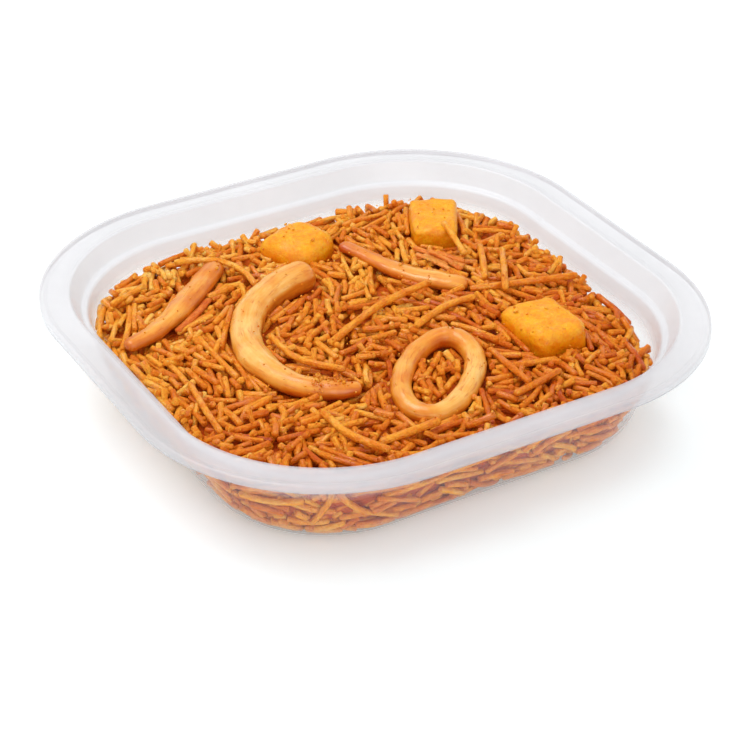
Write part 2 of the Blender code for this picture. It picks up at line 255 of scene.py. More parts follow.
def tint(red, green, blue):
    """A colour given from 0 to 255, as the shader wants it."""
    shares = [c / 255 for c in (red, green, blue)]
    return tuple(c / 12.92 if c <= 0.04045 else ((c + 0.055) / 1.055) ** 2.4 for c in shares)


class Value:
    """A shader socket that Python's operators work on."""

    def __init__(self, finish, node, output):
        self.finish = finish
        self.node = node
        self.socket = node.outputs[output]

    def math(self, operation, first, second):
        return self.finish.node("ShaderNodeMath", {"operation": operation}, {0: first, 1: second})

    def __add__(self, other):
        return self.math("ADD", self, other)

    def __radd__(self, other):
        return self.math("ADD", other, self)

    def __sub__(self, other):
        return self.math("SUBTRACT", self, other)

    def __rsub__(self, other):
        return self.math("SUBTRACT", other, self)

    def __mul__(self, other):
        return self.math("MULTIPLY", self, other)

    def __rmul__(self, other):
        return self.math("MULTIPLY", other, self)


class Finish:
    """One material: its nodes, made by one method, around its Principled shader."""

    def __init__(self, name, **uniform):
        self.material = bpy.data.materials.new(name)
        self.material.use_nodes = True
        self.tree = self.material.node_tree
        self.shader = self.tree.nodes["Principled BSDF"]
        self.place = self.node("ShaderNodeTexCoord", output="Object")
        self.set(**uniform)

    def node(self, kind, settings=None, inputs=None, output=0):
        """Adds a node: its type, then its settings, then its sockets' values or links."""
        made = self.tree.nodes.new(kind)
        for key, value in (settings or {}).items():
            if key == "stops":
                elements = made.color_ramp.elements
                while len(elements) < len(value):
                    elements.new(0.5)
                for element, (position, colour) in zip(elements, value):
                    element.position = position
                    element.color = (*colour, 1.0)
            else:
                setattr(made, key, value)
        for key, value in (inputs or {}).items():
            self.feed(made.inputs[key], value)
        return Value(self, made, output)

    def feed(self, socket, value):
        if isinstance(value, Value):
            self.tree.links.new(value.socket, socket)
        elif socket.type == "RGBA":
            socket.default_value = (*value, 1.0)
        else:
            socket.default_value = value

    def set(self, **inputs):
        for key, value in inputs.items():
            self.feed(self.shader.inputs[key.replace("_", " ")], value)

    def attribute(self, name, output="Fac"):
        return self.node("ShaderNodeAttribute", {"attribute_name": name}, output=output)

    def stretched(self, scale, where=None):
        """Coordinates with a scale of their own along each axis."""
        inputs = {"Vector": where or self.place, "Scale": scale}
        return self.node("ShaderNodeMapping", {}, inputs)

    def noise(self, scale, detail=2.0, where=None, roughness=0.5):
        """Soft noise from 0 to 1, with this many waves a metre."""
        inputs = {"Vector": where or self.place, "Scale": scale, "Detail": detail, "Roughness": roughness}
        return self.node("ShaderNodeTexNoise", {}, inputs)

    def ramp(self, value, *stops):
        return self.node("ShaderNodeValToRGB", {"stops": stops}, {"Fac": value})

    def span(self, value, low, high, first=0.0, second=1.0):
        """The value taken from low..high to first..second, and held at the ends."""
        inputs = {"Value": value, "From Min": low, "From Max": high, "To Min": first, "To Max": second}
        return self.node("ShaderNodeMapRange", {"clamp": True}, inputs)

    def mix(self, share, first, second, blend="MIX"):
        settings = {"data_type": "RGBA", "blend_type": blend}
        return self.node("ShaderNodeMix", settings, {0: share, 6: first, 7: second}, output=2)

    def bump(self, height, strength, depth):
        inputs = {"Height": height, "Strength": strength, "Distance": depth}
        self.set(Normal=self.node("ShaderNodeBump", {}, inputs))


def tray_finish():
    """Milky plastic: hazy where it stands free, nearly clear where food touches it."""
    finish = Finish("milky_plastic", IOR=1.49, Coat_IOR=1.5, Coat_Roughness=0.3)
    height = finish.node("ShaderNodeSeparateXYZ", {}, {"Vector": finish.place}, output="Z")
    cloud = finish.noise(38.0, 3.0)
    haze = finish.span(height, 0.0205, 0.0270, 0.03, 0.41)
    flange = finish.span(height, 0.0335, 0.0362, 0.0, 0.01)
    facing = finish.node("ShaderNodeLayerWeight", {}, {"Blend": 0.12}, output="Facing")
    finish.set(Base_Color=finish.ramp(cloud, (0.3, tint(209, 206, 210)), (0.7, tint(218, 215, 219))))
    finish.set(Alpha=haze + flange + (cloud - 0.5) * 0.05 + facing * facing * 1.8)
    finish.set(Roughness=finish.span(finish.noise(70.0, 2.0), 0.3, 0.7, 0.28, 0.36))
    finish.set(Coat_Weight=finish.span(height, 0.0235, 0.0300, 0.5, 0.9))
    finish.bump(finish.noise(40.0, 1.0), 0.05, 0.0006)
    return finish


def noodle_finish(name, gloss, *stops):
    """Toasted noodle: a shade for each, darker blotches along it, oily patches, and painted light that makes
    it lighter towards the back and the left.
    """
    finish = Finish(name, Coat_Roughness=0.18, IOR=1.3, Subsurface_Weight=0.22, Subsurface_Scale=0.0014)
    finish.set(Subsurface_Radius=(1.0, 0.35, 0.08))
    strand = finish.attribute("strand", "Vector")
    shade = finish.attribute("shade")
    blotch = finish.noise(1.0, 3.0, finish.stretched((220.0, 520.0, 520.0), strand), 0.65)
    grain = finish.noise(1.0, 2.0, finish.stretched((600.0, 2400.0, 2400.0), strand))
    region = finish.noise(42.0, 1.0)
    across = finish.node("ShaderNodeSeparateXYZ", {}, {"Vector": finish.place}, output="X")
    back = finish.node("ShaderNodeSeparateXYZ", {}, {"Vector": finish.place}, output="Y")
    mottle = finish.noise(900.0, 3.0, roughness=0.6)
    # back and across paint light: the tone grows lighter towards the back and the left, the side the key
    # lamp is on
    tone = shade * 0.50 + blotch * 0.70 + mottle * 0.40 + region * 0.26 + back * 1.4 - across * 0.2 - 0.38
    colour = finish.ramp(tone, *stops)
    speck = finish.span(finish.noise(1500.0, 2.0), 0.69, 0.76)
    colour = finish.mix(speck * 0.4, colour, tint(150, 44, 2))
    finish.set(Base_Color=colour)
    finish.set(Roughness=finish.span(blotch, 0.3, 0.7, 0.34, 0.50))
    finish.set(Coat_Weight=finish.span(finish.noise(190.0, 2.0), 0.46, 0.64, 0.0, gloss))
    finish.bump(grain * 0.5 + blotch * 0.7 + mottle * 1.2, 0.9, 0.0008)
    return finish


def squid_finish():
    """Cooked squid: pale flesh with faint rings, stained orange and wet with oil, darker underneath as oil
    stain and as painted shade.
    """
    finish = Finish("cooked_squid", Coat_Roughness=0.14, IOR=1.42, Subsurface_Weight=0.22)
    finish.set(Subsurface_Scale=0.004, Subsurface_Radius=(1.0, 0.45, 0.2))
    strand = finish.attribute("strand", "Vector")
    streak = finish.noise(1.0, 3.0, finish.stretched((60.0, 520.0, 520.0), strand), 0.6)
    hoop = finish.noise(1.0, 2.0, finish.stretched((900.0, 60.0, 60.0), strand))
    stain = finish.noise(95.0, 3.0, roughness=0.6)
    # under darkens the underside: partly oil stain, partly painted shade
    low = finish.node("ShaderNodeSeparateXYZ", {}, {"Vector": strand}, output="Z")
    under = finish.span(low, -0.0034, 0.0024, 0.42, 0.0)
    # The shade attribute holds the pale values: each piece's own tone plus painted light and shade along it
    tone = stain * 0.50 + streak * 0.54 + under - finish.attribute("shade") * 0.34 + 0.14
    colour = finish.ramp(
        tone,
        (0.30, tint(243, 191, 104)),
        (0.46, tint(234, 162, 60)),
        (0.62, tint(223, 130, 28)),
        (0.84, tint(188, 80, 8)),
    )
    dots = finish.noise(1.0, 3.0, finish.stretched((170.0, 1100.0, 1100.0), strand), 0.65)
    speck = finish.span(dots, 0.56, 0.72)
    colour = finish.mix(speck * 0.6, colour, tint(196, 84, 10))
    finish.set(Base_Color=colour)
    finish.set(Roughness=finish.span(streak, 0.3, 0.7, 0.26, 0.42))
    finish.set(Coat_Weight=finish.span(finish.noise(140.0, 2.0), 0.40, 0.65, 0.1, 0.6))
    finish.bump(hoop * 0.3 + streak * 0.5 + finish.noise(1500.0, 2.0) * 0.2, 0.3, 0.0004)
    return finish


def chunk_finish():
    """Yellow cubes: soft mottled flesh, orange at the edges, with oil and brown specks."""
    finish = Finish("yellow_chunk", Coat_Roughness=0.2, IOR=1.37, Subsurface_Weight=0.20)
    finish.set(Subsurface_Scale=0.004, Subsurface_Radius=(1.0, 0.5, 0.1))
    cloud = finish.noise(210.0, 4.0, roughness=0.68)
    fine = finish.noise(900.0, 3.0, roughness=0.6)
    height = finish.node("ShaderNodeSeparateXYZ", {}, {"Vector": finish.place}, output="Z")
    low = finish.span(height, 0.0245, 0.0315, 0.15, 0.0)
    colour = finish.ramp(
        cloud * 0.80 + fine * 0.34 - 0.05 + low,
        (0.30, tint(246, 188, 26)),
        (0.46, tint(242, 168, 10)),
        (0.64, tint(238, 144, 2)),
        (0.90, tint(232, 116, 0)),
    )
    speck = finish.span(finish.noise(520.0, 3.0, roughness=0.65), 0.63, 0.69)
    colour = finish.mix(speck * 0.5, colour, tint(196, 92, 12))
    finish.set(Base_Color=colour)
    finish.set(Roughness=finish.span(fine, 0.3, 0.7, 0.34, 0.52))
    finish.set(Coat_Weight=finish.span(finish.noise(230.0, 2.0), 0.46, 0.64, 0.0, 0.3))
    finish.bump(fine * 0.6 + finish.noise(2000.0, 2.0) * 0.3 + cloud * 0.6, 0.8, 0.0008)
    return finish


def outline(inset, steps=CORNER_STEPS):
    """The tray's plan at this inset, once round, with each point's way out."""
    radius = CORNER - inset
    corners = ((1, 1), (-1, 1), (-1, -1), (1, -1))
    points = []
    for quarter, (sx, sy) in enumerate(corners):
        for step in range(steps + 1):
            angle = math.radians(90 * (quarter + step / steps))
            x = sx * (HALF_LENGTH - CORNER) + radius * math.cos(angle)
            y = sy * (HALF_WIDTH - CORNER) + radius * math.sin(angle)
            points.append((x, y, math.cos(angle), math.sin(angle)))
        next_x, next_y = corners[(quarter + 1) % 4]
        for step in range(1, SIDE_STEPS):
            along = (next_x - sx) * (HALF_LENGTH - CORNER) * step / SIDE_STEPS
            across = (next_y - sy) * (HALF_WIDTH - CORNER) * step / SIDE_STEPS
            points.append((x + along, y + across, math.cos(angle), math.sin(angle)))
    return points


def arc(centre, radius, start, end, steps):
    """Points on a section's arc, with angles from the inset's way towards up."""
    angles = [math.radians(start + (end - start) * step / steps) for step in range(steps + 1)]
    return [(centre[0] + radius * math.cos(a), centre[1] + radius * math.sin(a)) for a in angles]


def wall_section():
    """The inner wall as (inset, height), from below the ledge down to the floor."""
    wall = [(LEDGE_INNER, LEDGE - 1.1), (16.05, LEDGE - 5.4), (17.3, LEDGE - 11.2)]
    return wall + arc(BASE_CENTRE, BASE_RADIUS - SHEET, 192, 270, 13)


def tray_section():
    """The whole sheet's upper side as (inset, height), from the lip's hem to the floor."""
    path = [(0.0, RIM - LIP - 0.2), (0.1, RIM - 1.2)]
    path += arc((1.1, RIM - 0.95), 0.95, 165, 80, 5)
    path += [(1.9, RIM - 0.08), (2.4, RIM - 0.45), (3.1, RIM - 0.62), (6.0, RIM - 0.55)]
    path += [(FLANGE_INNER - 1.6, RIM - 0.45), (FLANGE_INNER - 0.7, RIM - 0.15)]
    path += arc((FLANGE_INNER - 0.1, RIM - 0.9), 0.9, 88, 24, 5)
    path += [(LEDGE_OUTER - 1.2, RIM - 4.0)]
    path += arc((LEDGE_OUTER + 0.75, LEDGE + 1.15), 1.1, 205, 262, 4)
    path += [(LEDGE_INNER - 0.9, LEDGE - 0.05), (LEDGE_INNER - 0.35, LEDGE - 0.35)]
    return path + wall_section()


def depth_inside(x, y, inset):
    """How far a point is inside the tray's plan at an inset, and less than 0 outside it."""
    qx = np.abs(x) - (HALF_LENGTH - CORNER)
    qy = np.abs(y) - (HALF_WIDTH - CORNER)
    out = np.hypot(np.maximum(qx, 0), np.maximum(qy, 0)) + np.minimum(np.maximum(qx, qy), 0)
    return CORNER - inset - out


def wall_inset(z):
    """The inset of the inner wall at a height."""
    insets, heights = np.array(wall_section()[::-1]).T
    return np.interp(z, heights, insets)


def heap_level(x, y):
    """The height of the noodles' tops over the tray."""
    inside = depth_inside(x, y, LEDGE_INNER) / (CORNER - LEDGE_INNER)
    rise = 1 - (1 - np.clip(inside, 0, 1)) ** 2
    away = np.hypot(x - LOW_CORNER[0], y - LOW_CORNER[1])
    return WALL_LEVEL + DOME * rise - LOW_DEPTH * np.exp(-((away / LOW_SPREAD) ** 2))


def place(name, mesh, finish, node):
    """Makes a mesh a piece that stands for its CAD node."""
    mesh.materials.append(finish.material)
    mesh.shade_smooth()
    piece = bpy.data.objects.new(name, mesh)
    bpy.context.scene.collection.objects.link(piece)
    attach(piece, "root")
    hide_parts(node)
    return piece


def take(name, work, finish, node):
    """Turns a bmesh in millimetres into a piece in metres."""
    bmesh.ops.scale(work, vec=(MM, MM, MM), verts=work.verts)
    mesh = bpy.data.meshes.new(name)
    work.to_mesh(mesh)
    work.free()
    return place(name, mesh, finish, node)


def loop_through(work, points):
    """A closed loop of edges through the points."""
    verts = [work.verts.new(point) for point in points]
    return [work.edges.new((verts[i - 1], verts[i])) for i in range(len(verts))]


def bridge(work, loops, closed=False):
    """Skins the loops in turn, and the last to the first when closed."""
    pairs = list(zip(loops, loops[1:]))
    if closed:
        pairs.append((loops[-1], loops[0]))
    for first, second in pairs:
        bmesh.ops.bridge_loops(work, edges=first + second)


def build_tray(finish):
    """Loops of the plan along the section, bridged, then thickened on the outer side."""
    work = bmesh.new()
    loops = []
    for inset, z in tray_section():
        loops.append(loop_through(work, [(x, y, z) for x, y, _, _ in outline(inset)]))
    bridge(work, loops)
    bmesh.ops.edgeloop_fill(work, edges=loops[-1])
    bmesh.ops.recalc_face_normals(work, faces=work.faces)
    if sum(face.normal.z * face.calc_area() for face in work.faces) < 0:
        bmesh.ops.reverse_faces(work, faces=work.faces)
    piece = take("tray_sheet", work, finish, "tray")
    wall = piece.modifiers.new("sheet", "SOLIDIFY")
    wall.thickness = SHEET * MM
    wall.offset = -1.0
    return piece


def build_core(finish):
    """The body of the heap, a noodle's depth behind the wall and the floor, dark with sauce and with painted
    shade for the gaps between noodles.
    """
    work = bmesh.new()
    side = arc(BASE_CENTRE, BASE_RADIUS - SHEET - CORE_BACK, 270, 196, 6)
    loops = []
    for inset, z in side:
        loops.append(loop_through(work, [(x, y, z) for x, y, _, _ in outline(inset, CORE_STEPS)]))
    rim = []
    for i, (x, y, _, _) in enumerate(outline(LEDGE_INNER + 4, CORE_STEPS)):
        z = float(heap_level(x, y)) - CORE_DEPTH
        inner = outline(float(wall_inset(z)) + CORE_BACK, CORE_STEPS)[i]
        rim.append((inner[0], inner[1], z))
    loops.append(loop_through(work, rim))
    for step in range(1, CORE_RINGS):
        scale = 1 - step / CORE_RINGS
        plan = [(x * scale, y * scale) for x, y, _ in rim]
        loops.append(loop_through(work, [(x, y, heap_level(x, y) - CORE_DEPTH) for x, y in plan]))
    bridge(work, loops)
    bmesh.ops.edgeloop_fill(work, edges=loops[0])
    bmesh.ops.edgeloop_fill(work, edges=loops[-1])
    bmesh.ops.recalc_face_normals(work, faces=work.faces)
    for vert in work.verts:
        if vert.co.z > BASE_RADIUS and depth_inside(vert.co.x, vert.co.y, LEDGE_INNER) > CORE_EDGE:
            vert.co.z += CORE_LUMP_DEPTH * noise.noise(vert.co / CORE_LUMP)
    strand = work.verts.layers.float_vector.new("strand")
    shade = work.verts.layers.float.new("shade")
    for vert in work.verts:
        vert[strand] = vert.co * MM
        # its low tone is sauce and painted shade for the gaps between noodles
        vert[shade] = CORE_SAUCE_AND_GAP_SHADE
    return take("noodle_core", work, finish, "noodles")


def noodle_template(bands):
    """A straight noodle of unit length and radius, with softened cut ends."""
    work = bmesh.new()
    bmesh.ops.create_circle(work, cap_ends=True, radius=NOODLE_END, segments=NOODLE_SIDES)
    bmesh.ops.rotate(work, cent=(0, 0, 0), matrix=Matrix.Rotation(math.pi / 2, 3, "Y"), verts=work.verts)
    bmesh.ops.translate(work, vec=(-0.5, 0, 0), verts=work.verts)
    front = list(work.faces)
    where = -0.5
    inner = [-0.47 + 0.94 * i / bands for i in range(bands + 1)]
    for stop, grow in zip(inner + [0.5], [1 / NOODLE_END] + [1.0] * bands + [NOODLE_END]):
        region = front + list(front[0].edges)
        made = bmesh.ops.extrude_face_region(work, geom=region, use_keep_orig=where == -0.5)
        verts = [item for item in made["geom"] if isinstance(item, bmesh.types.BMVert)]
        front = [item for item in made["geom"] if isinstance(item, bmesh.types.BMFace)]
        bmesh.ops.translate(work, vec=(stop - where, 0, 0), verts=verts)
        bmesh.ops.scale(work, vec=(1, grow, grow), verts=verts)
        where = stop
    bmesh.ops.recalc_face_normals(work, faces=work.faces)
    bmesh.ops.triangulate(work, faces=work.faces)
    work.verts.index_update()
    points = np.array([tuple(vert.co) for vert in work.verts])
    faces = np.array([[vert.index for vert in face.verts] for face in work.faces])
    work.free()
    return points, faces


class Strands:
    """Many noodles or slivers, bent from one template and joined in one mesh."""

    def __init__(self, template):
        self.points, self.faces = template
        self.made = []
        self.draw = np.random.default_rng(8)

    def add(self, line, radius, shade, flat=1.0):
        line = np.asarray(line, float)
        run = np.r_[0, np.cumsum(np.linalg.norm(np.diff(line, axis=0), axis=1))]
        along = (self.points[:, 0] + 0.5) * run[-1]
        spot = np.array([np.interp(along, run, line[:, k]) for k in range(3)]).T
        slopes = np.gradient(line, run, axis=0)
        way = np.array([np.interp(along, run, slopes[:, k]) for k in range(3)]).T
        way /= np.linalg.norm(way, axis=1)[:, None]
        upright = UP if abs(slopes[:, 2]).mean() < 0.8 else (1.0, 0.0, 0.0)
        side = np.cross(upright, way)
        side /= np.linalg.norm(side, axis=1)[:, None]
        over = np.cross(way, side)
        phase = self.draw.uniform(0, 6.28, 2)
        swell = radius * (1 + 0.05 * np.sin(along * 0.45 + phase[0]) + 0.03 * np.sin(along * 1.3 + phase[1]))
        turn = self.draw.uniform(0, math.pi)
        y = self.points[:, 1] * math.cos(turn) - self.points[:, 2] * math.sin(turn)
        z = self.points[:, 1] * math.sin(turn) + self.points[:, 2] * math.cos(turn)
        spot = spot + side * (swell * y)[:, None] + over * (swell * z * flat)[:, None]
        shift = self.draw.uniform(0, 400)
        strand = np.stack([along + shift, y * radius + shift, z * radius], axis=1) * MM
        self.made.append((spot * MM, strand, np.full(len(spot), shade)))

    def make(self, name, finish, node):
        count = len(self.points)
        faces = np.concatenate([self.faces + i * count for i in range(len(self.made))])
        mesh = bpy.data.meshes.new(name)
        mesh.from_pydata(np.concatenate([m[0] for m in self.made]), [], faces)
        strand = mesh.attributes.new("strand", "FLOAT_VECTOR", "POINT")
        strand.data.foreach_set("vector", np.concatenate([m[1] for m in self.made]).ravel())
        shade = mesh.attributes.new("shade", "FLOAT", "POINT")
        shade.data.foreach_set("value", np.concatenate([m[2] for m in self.made]))
        return place(name, mesh, finish, node)


class Pile:
    """A height map on which noodles come to rest one by one."""

    def __init__(self, low, high, ground, ceiling, sink):
        self.low = np.array(low, float)
        spans = [np.arange(start, end, GRID) for start, end in zip(low, high)]
        self.gx, self.gy = np.meshgrid(*spans, indexing="ij")
        self.ground = ground(self.gx, self.gy)
        self.ceiling = ceiling(self.gx, self.gy)
        self.sink = sink
        reach = np.arange(-3, 4)
        oi, oj = np.meshgrid(reach, reach, indexing="ij")
        away = GRID * np.hypot(oi, oj)
        inside = away < NOODLE
        self.oi = oi[inside]
        self.oj = oj[inside]
        self.cap = np.sqrt(NOODLE**2 - away[inside] ** 2)

    def cells(self, x, y):
        i = np.rint((x - self.low[0]) / GRID).astype(int)[:, None] + self.oi
        j = np.rint((y - self.low[1]) / GRID).astype(int)[:, None] + self.oj
        return np.clip(i, 0, self.gx.shape[0] - 1), np.clip(j, 0, self.gx.shape[1] - 1)

    def rest(self, x, y, steepest):
        """The line's heights, resting on one support on each side of its middle."""
        i, j = self.cells(x, y)
        need = (self.ground[i, j] + self.cap).max(axis=1) - self.sink
        along = np.r_[0, np.cumsum(np.hypot(np.diff(x), np.diff(y)))]
        along -= along[-1] / 2
        left = along < -0.01
        right = along > 0.01
        slope = (need[right][None] - need[left][:, None]) / (along[right][None] - along[left][:, None])
        middle = need[left][:, None] - slope * along[left][:, None]
        best = np.unravel_index(np.argmax(middle), middle.shape)
        tilt = float(np.clip(slope[best], -steepest, steepest)) * along
        z = float((need - tilt).max()) + tilt
        return z, bool((z < (self.ceiling[i, j] - self.cap).min(axis=1)).all())

    def lay(self, x, y, z, radius=NOODLE):
        i, j = self.cells(x, y)
        np.maximum.at(self.ground, (i, j), z[:, None] + self.cap * radius / NOODLE)

    def height(self, x, y):
        i, j = self.cells(np.array([x]), np.array([y]))
        return float(self.ground[i, j].max())


def bent_plan(centre, yaw, length, bend, wave):
    """A noodle's plan: an arc with a slight wave."""
    s = np.linspace(-0.5, 0.5, LINE_POINTS)
    turn = yaw + bend * s + wave * np.sin(2 * math.pi * s)
    step = length / (LINE_POINTS - 1)
    x = np.r_[0, np.cumsum(np.cos((turn[1:] + turn[:-1]) / 2))] * step
    y = np.r_[0, np.cumsum(np.sin((turn[1:] + turn[:-1]) / 2))] * step
    return x - x.mean() + centre[0], y - y.mean() + centre[1]


def smooth_line(points, steps):
    """Even steps on a smooth path through the points."""
    points = np.array(points, float)
    run = np.r_[0, np.cumsum(np.linalg.norm(np.diff(points, axis=0), axis=1))]
    slopes = np.gradient(points, run, axis=0)
    where = np.linspace(0, run[-1], steps)
    i = np.clip(np.searchsorted(run, where, side="right") - 1, 0, len(run) - 2)
    span = (run[i + 1] - run[i])[:, None]
    t = (where - run[i])[:, None] / span
    start = (2 * t**3 - 3 * t**2 + 1) * points[i] + (t**3 - 2 * t**2 + t) * span * slopes[i]
    return start + (3 * t**2 - 2 * t**3) * points[i + 1] + (t**3 - t**2) * span * slopes[i + 1]


def level_line(plan, level, steps):
    """A smooth path at one level."""
    return smooth_line([(x, y, level) for x, y in plan], steps)


def ring_line(steps):
    """The squid ring's centre line, leaning a little."""
    yaw = math.radians(RING_YAW)
    angle = np.linspace(0, 2 * math.pi, steps, endpoint=False)
    u = RING_HALF[0] * np.cos(angle)
    v = RING_HALF[1] * np.sin(angle) * (1 + 0.04 * np.cos(2 * angle + 0.6))
    x = RING_CENTRE[0] + u * math.cos(yaw) - v * math.sin(yaw)
    y = RING_CENTRE[1] + u * math.sin(yaw) + v * math.cos(yaw)
    z = RING_CENTRE[2] + u * math.sin(math.radians(RING_LEAN)) + 0.25 * np.cos(3 * angle)
    return np.stack([x, y, z], axis=1)


def curl_widths(steps):
    """The curl's half widths along its line."""
    t = np.linspace(0, 1, steps)
    width = np.interp(t, np.linspace(0, 1, len(CURL_HALVES)), CURL_HALVES)
    return width * (1 + 0.02 * np.sin(23 * t))


def strip_widths(half, fullest, steps):
    """A strip's half widths, the widest at this share of its length."""
    t = np.linspace(0, 1, steps)
    swell = 0.84 + 0.16 * np.cos(math.pi * np.minimum(1, np.abs(t - fullest) * 1.5))
    return half * swell * (1 + 0.03 * np.sin(17 * t))


def topping_levels(x, y, grow=0.0):
    """The undersides and tops of the toppings, made wider by grow, and far off where there are none."""
    under = np.full(x.shape, FAR)
    over = np.full(x.shape, -FAR)
    tubes = [
        (ring_line(90), np.full(90, RING_TUBE), 1.0),
        (level_line(CURL_LINE, CURL_LEVEL, 70), curl_widths(70), CURL_FLAT),
        (level_line(LEFT_LINE, LEFT_LEVEL, 50), strip_widths(LEFT_HALF, LEFT_FULLEST, 50), STRIP_FLAT),
        (level_line(BACK_LINE, BACK_LEVEL, 50), strip_widths(BACK_HALF, BACK_FULLEST, 50), STRIP_FLAT),
    ]
    for line, widths, flat in tubes:
        for (px, py, pz), width in zip(line, widths):
            away = np.hypot(x - px, y - py) / (width + grow)
            near = away < 1
            rise = width * flat * np.sqrt(1 - away[near] ** 2)
            under[near] = np.minimum(under[near], pz - rise)
            over[near] = np.maximum(over[near], pz + rise)
    for (cx, cy, cz), size, yaw, radius in CHUNKS.values():
        turn = math.radians(-yaw)
        dx, dy = x - cx, y - cy
        qx = np.abs(dx * math.cos(turn) - dy * math.sin(turn)) - size[0] / 2 + radius - grow
        qy = np.abs(dx * math.sin(turn) + dy * math.cos(turn)) - size[1] / 2 + radius - grow
        out = np.hypot(np.maximum(qx, 0), np.maximum(qy, 0))
        near = out < radius
        rise = size[2] / 2 - radius + np.sqrt(radius**2 - out[near] ** 2)
        under[near] = np.minimum(under[near], cz - rise)
        over[near] = np.maximum(over[near], cz + rise)
    return under, over


def noodle_length(draw):
    """Mostly short, with a few long ones."""
    return float(np.clip(draw.gamma(6.0, 2.6), SHORTEST, LONGEST))


def noodle_radius(draw):
    return NOODLE * float(np.clip(draw.normal(0.98, 0.07), 0.82, 1.16))


def usual_way(x, y):
    """The direction that most noodles share at this place."""
    return math.pi * (0.2 + 1.5 * noise.noise(Vector((x / FLOW_SIZE, y / FLOW_SIZE, 0.7))))


def noodle_shade(draw):
    return float(draw.beta(2.6, 2.6))


def lay_floor(strands):
    """Noodles that lie on the tray's floor, seen from below."""
    draw = np.random.default_rng(41)
    reach = (HALF_LENGTH - BASE_INSET - 4, HALF_WIDTH - BASE_INSET - 4)
    flat = Pile([-r for r in reach], reach, lambda x, y: x * 0 + SHEET, lambda x, y: x * 0 + FAR, FLOOR_SINK)
    for _ in range(FLOOR_COUNT * 3):
        centre = draw.uniform([-r for r in reach], reach)
        x, y = bent_plan(centre, draw.uniform(0, math.pi), noodle_length(draw), draw.normal(0, BEND), WAVE)
        if depth_inside(x, y, BASE_INSET + BASE_RADIUS - 3).min() < 0:
            continue
        z, _ = flat.rest(x, y, 0.2)
        if z.max() < SHEET + FLOOR_DEPTH:
            flat.lay(x, y, z)
            strands.add(np.stack([x, y, z], axis=1), noodle_radius(draw), noodle_shade(draw))


def lay_wall(strands, heap):
    """Noodles pressed on the wall all round, piled as if it were flat and then wrapped on it."""
    draw = np.random.default_rng(33)
    section = np.array(wall_section()[::-1])
    rise = np.r_[0, np.cumsum(np.linalg.norm(np.diff(section, axis=0), axis=1))]
    slope = np.gradient(section, rise, axis=0)
    middle = LEDGE_INNER + 5
    plan = np.array(outline(middle, 60) + outline(middle, 60)[:1])
    around = np.r_[0, np.cumsum(np.linalg.norm(np.diff(plan[:, :2], axis=0), axis=1))]
    turn = around[-1]
    low, high = (-WALL_MARGIN, -4.0), (turn + WALL_MARGIN, rise[-1] + 4.0)
    sheet = Pile(low, high, lambda x, y: x * 0 + WALL_SINK - 0.1, lambda x, y: x * 0 + FAR, WALL_SINK)
    laid = 0
    for _ in range(WALL_COUNT * 5):
        if laid == WALL_COUNT:
            break
        best = None
        short = laid > WALL_COUNT * WALL_LONG
        for _ in range(SHORT_TRIES if short else WALL_TRIES):
            centre = (draw.uniform(0, turn), draw.uniform(-1.0, rise[-1] - 2.0))
            along = draw.uniform() < ALONG_SHARE
            yaw = draw.normal(0, ALONG_SPREAD) if along else draw.uniform(0, math.pi)
            length = noodle_length(draw) * (SHORT_SHARE if short else 1.0)
            u, v = bent_plan(centre, yaw, length, draw.normal(0, BEND), draw.normal(0, WAVE))
            d, _ = sheet.rest(u, v, WALL_SLOPE)
            deepest = float(d.max())
            fits = deepest < WALL_DEPTH and v.min() > -3 and v.max() < rise[-1]
            if fits and (best is None or deepest < best[0]):
                best = (deepest, u, v, d)
        if best is None:
            continue
        _, u, v, d = best
        inset = np.interp(v, rise, section[:, 0]) + d * np.interp(v, rise, slope[:, 1])
        z = np.interp(v, rise, section[:, 1]) - d * np.interp(v, rise, slope[:, 0])
        x, y, nx, ny = [np.interp(np.mod(u, turn), around, plan[:, k]) for k in range(4)]
        x = x - (inset - middle) * nx
        y = y - (inset - middle) * ny
        if (z + NOODLE - heap_level(x, y)).max() > WALL_RISE:
            continue
        for shift in (-turn, 0.0, turn):
            kept = (u + shift > low[0] + 1) & (u + shift < high[0] - 1)
            if kept.any():
                sheet.lay(u[kept] + shift, v[kept], d[kept])
        heap.lay(x, y, z)
        radius = noodle_radius(draw)
        # painted light: the wall noodles are made lighter than those on top
        shade = noodle_shade(draw) * WALL_SHADE_PAINTED_LIGHT[0] + WALL_SHADE_PAINTED_LIGHT[1]
        strands.add(np.stack([x, y, z], axis=1), radius, shade)
        laid += 1


def lay_top(strands, heap, draw, count, lowest, highest, longest=LONGEST, tries=TOP_TRIES):
    """Noodles that fill the heap, each the lowest of a few tries, up to a limit over its level."""
    laid = 0
    for _ in range(count * 7):
        if laid == count:
            break
        length = min(noodle_length(draw), longest)
        limit = lowest + (highest - lowest) * laid / count
        best = None
        for _ in range(tries):
            centre = draw.uniform([-r for r in HEAP_REACH], HEAP_REACH)
            if depth_inside(centre[0], centre[1], LEDGE_INNER) < EDGE_GAP:
                continue
            yaw = usual_way(*centre) + draw.normal(0, FLOW_SPREAD)
            x, y = bent_plan(centre, yaw, length, draw.normal(0, BEND), draw.normal(0, WAVE))
            if depth_inside(x, y, LEDGE_INNER).min() < 1.0:
                continue
            z, clear = heap.rest(x, y, TOP_SLOPE)
            top = float((z + NOODLE - heap_level(x, y)).max())
            room = float(depth_inside(x, y, wall_inset(z - WALL_GAP)).min())
            if clear and room > NOODLE * 0.85 and top < limit and (best is None or top < best[0]):
                best = (top, x, y, z)
        if best:
            _, x, y, z = best
            heap.lay(x, y, z)
            strands.add(np.stack([x, y, z], axis=1), noodle_radius(draw), noodle_shade(draw))
            laid += 1


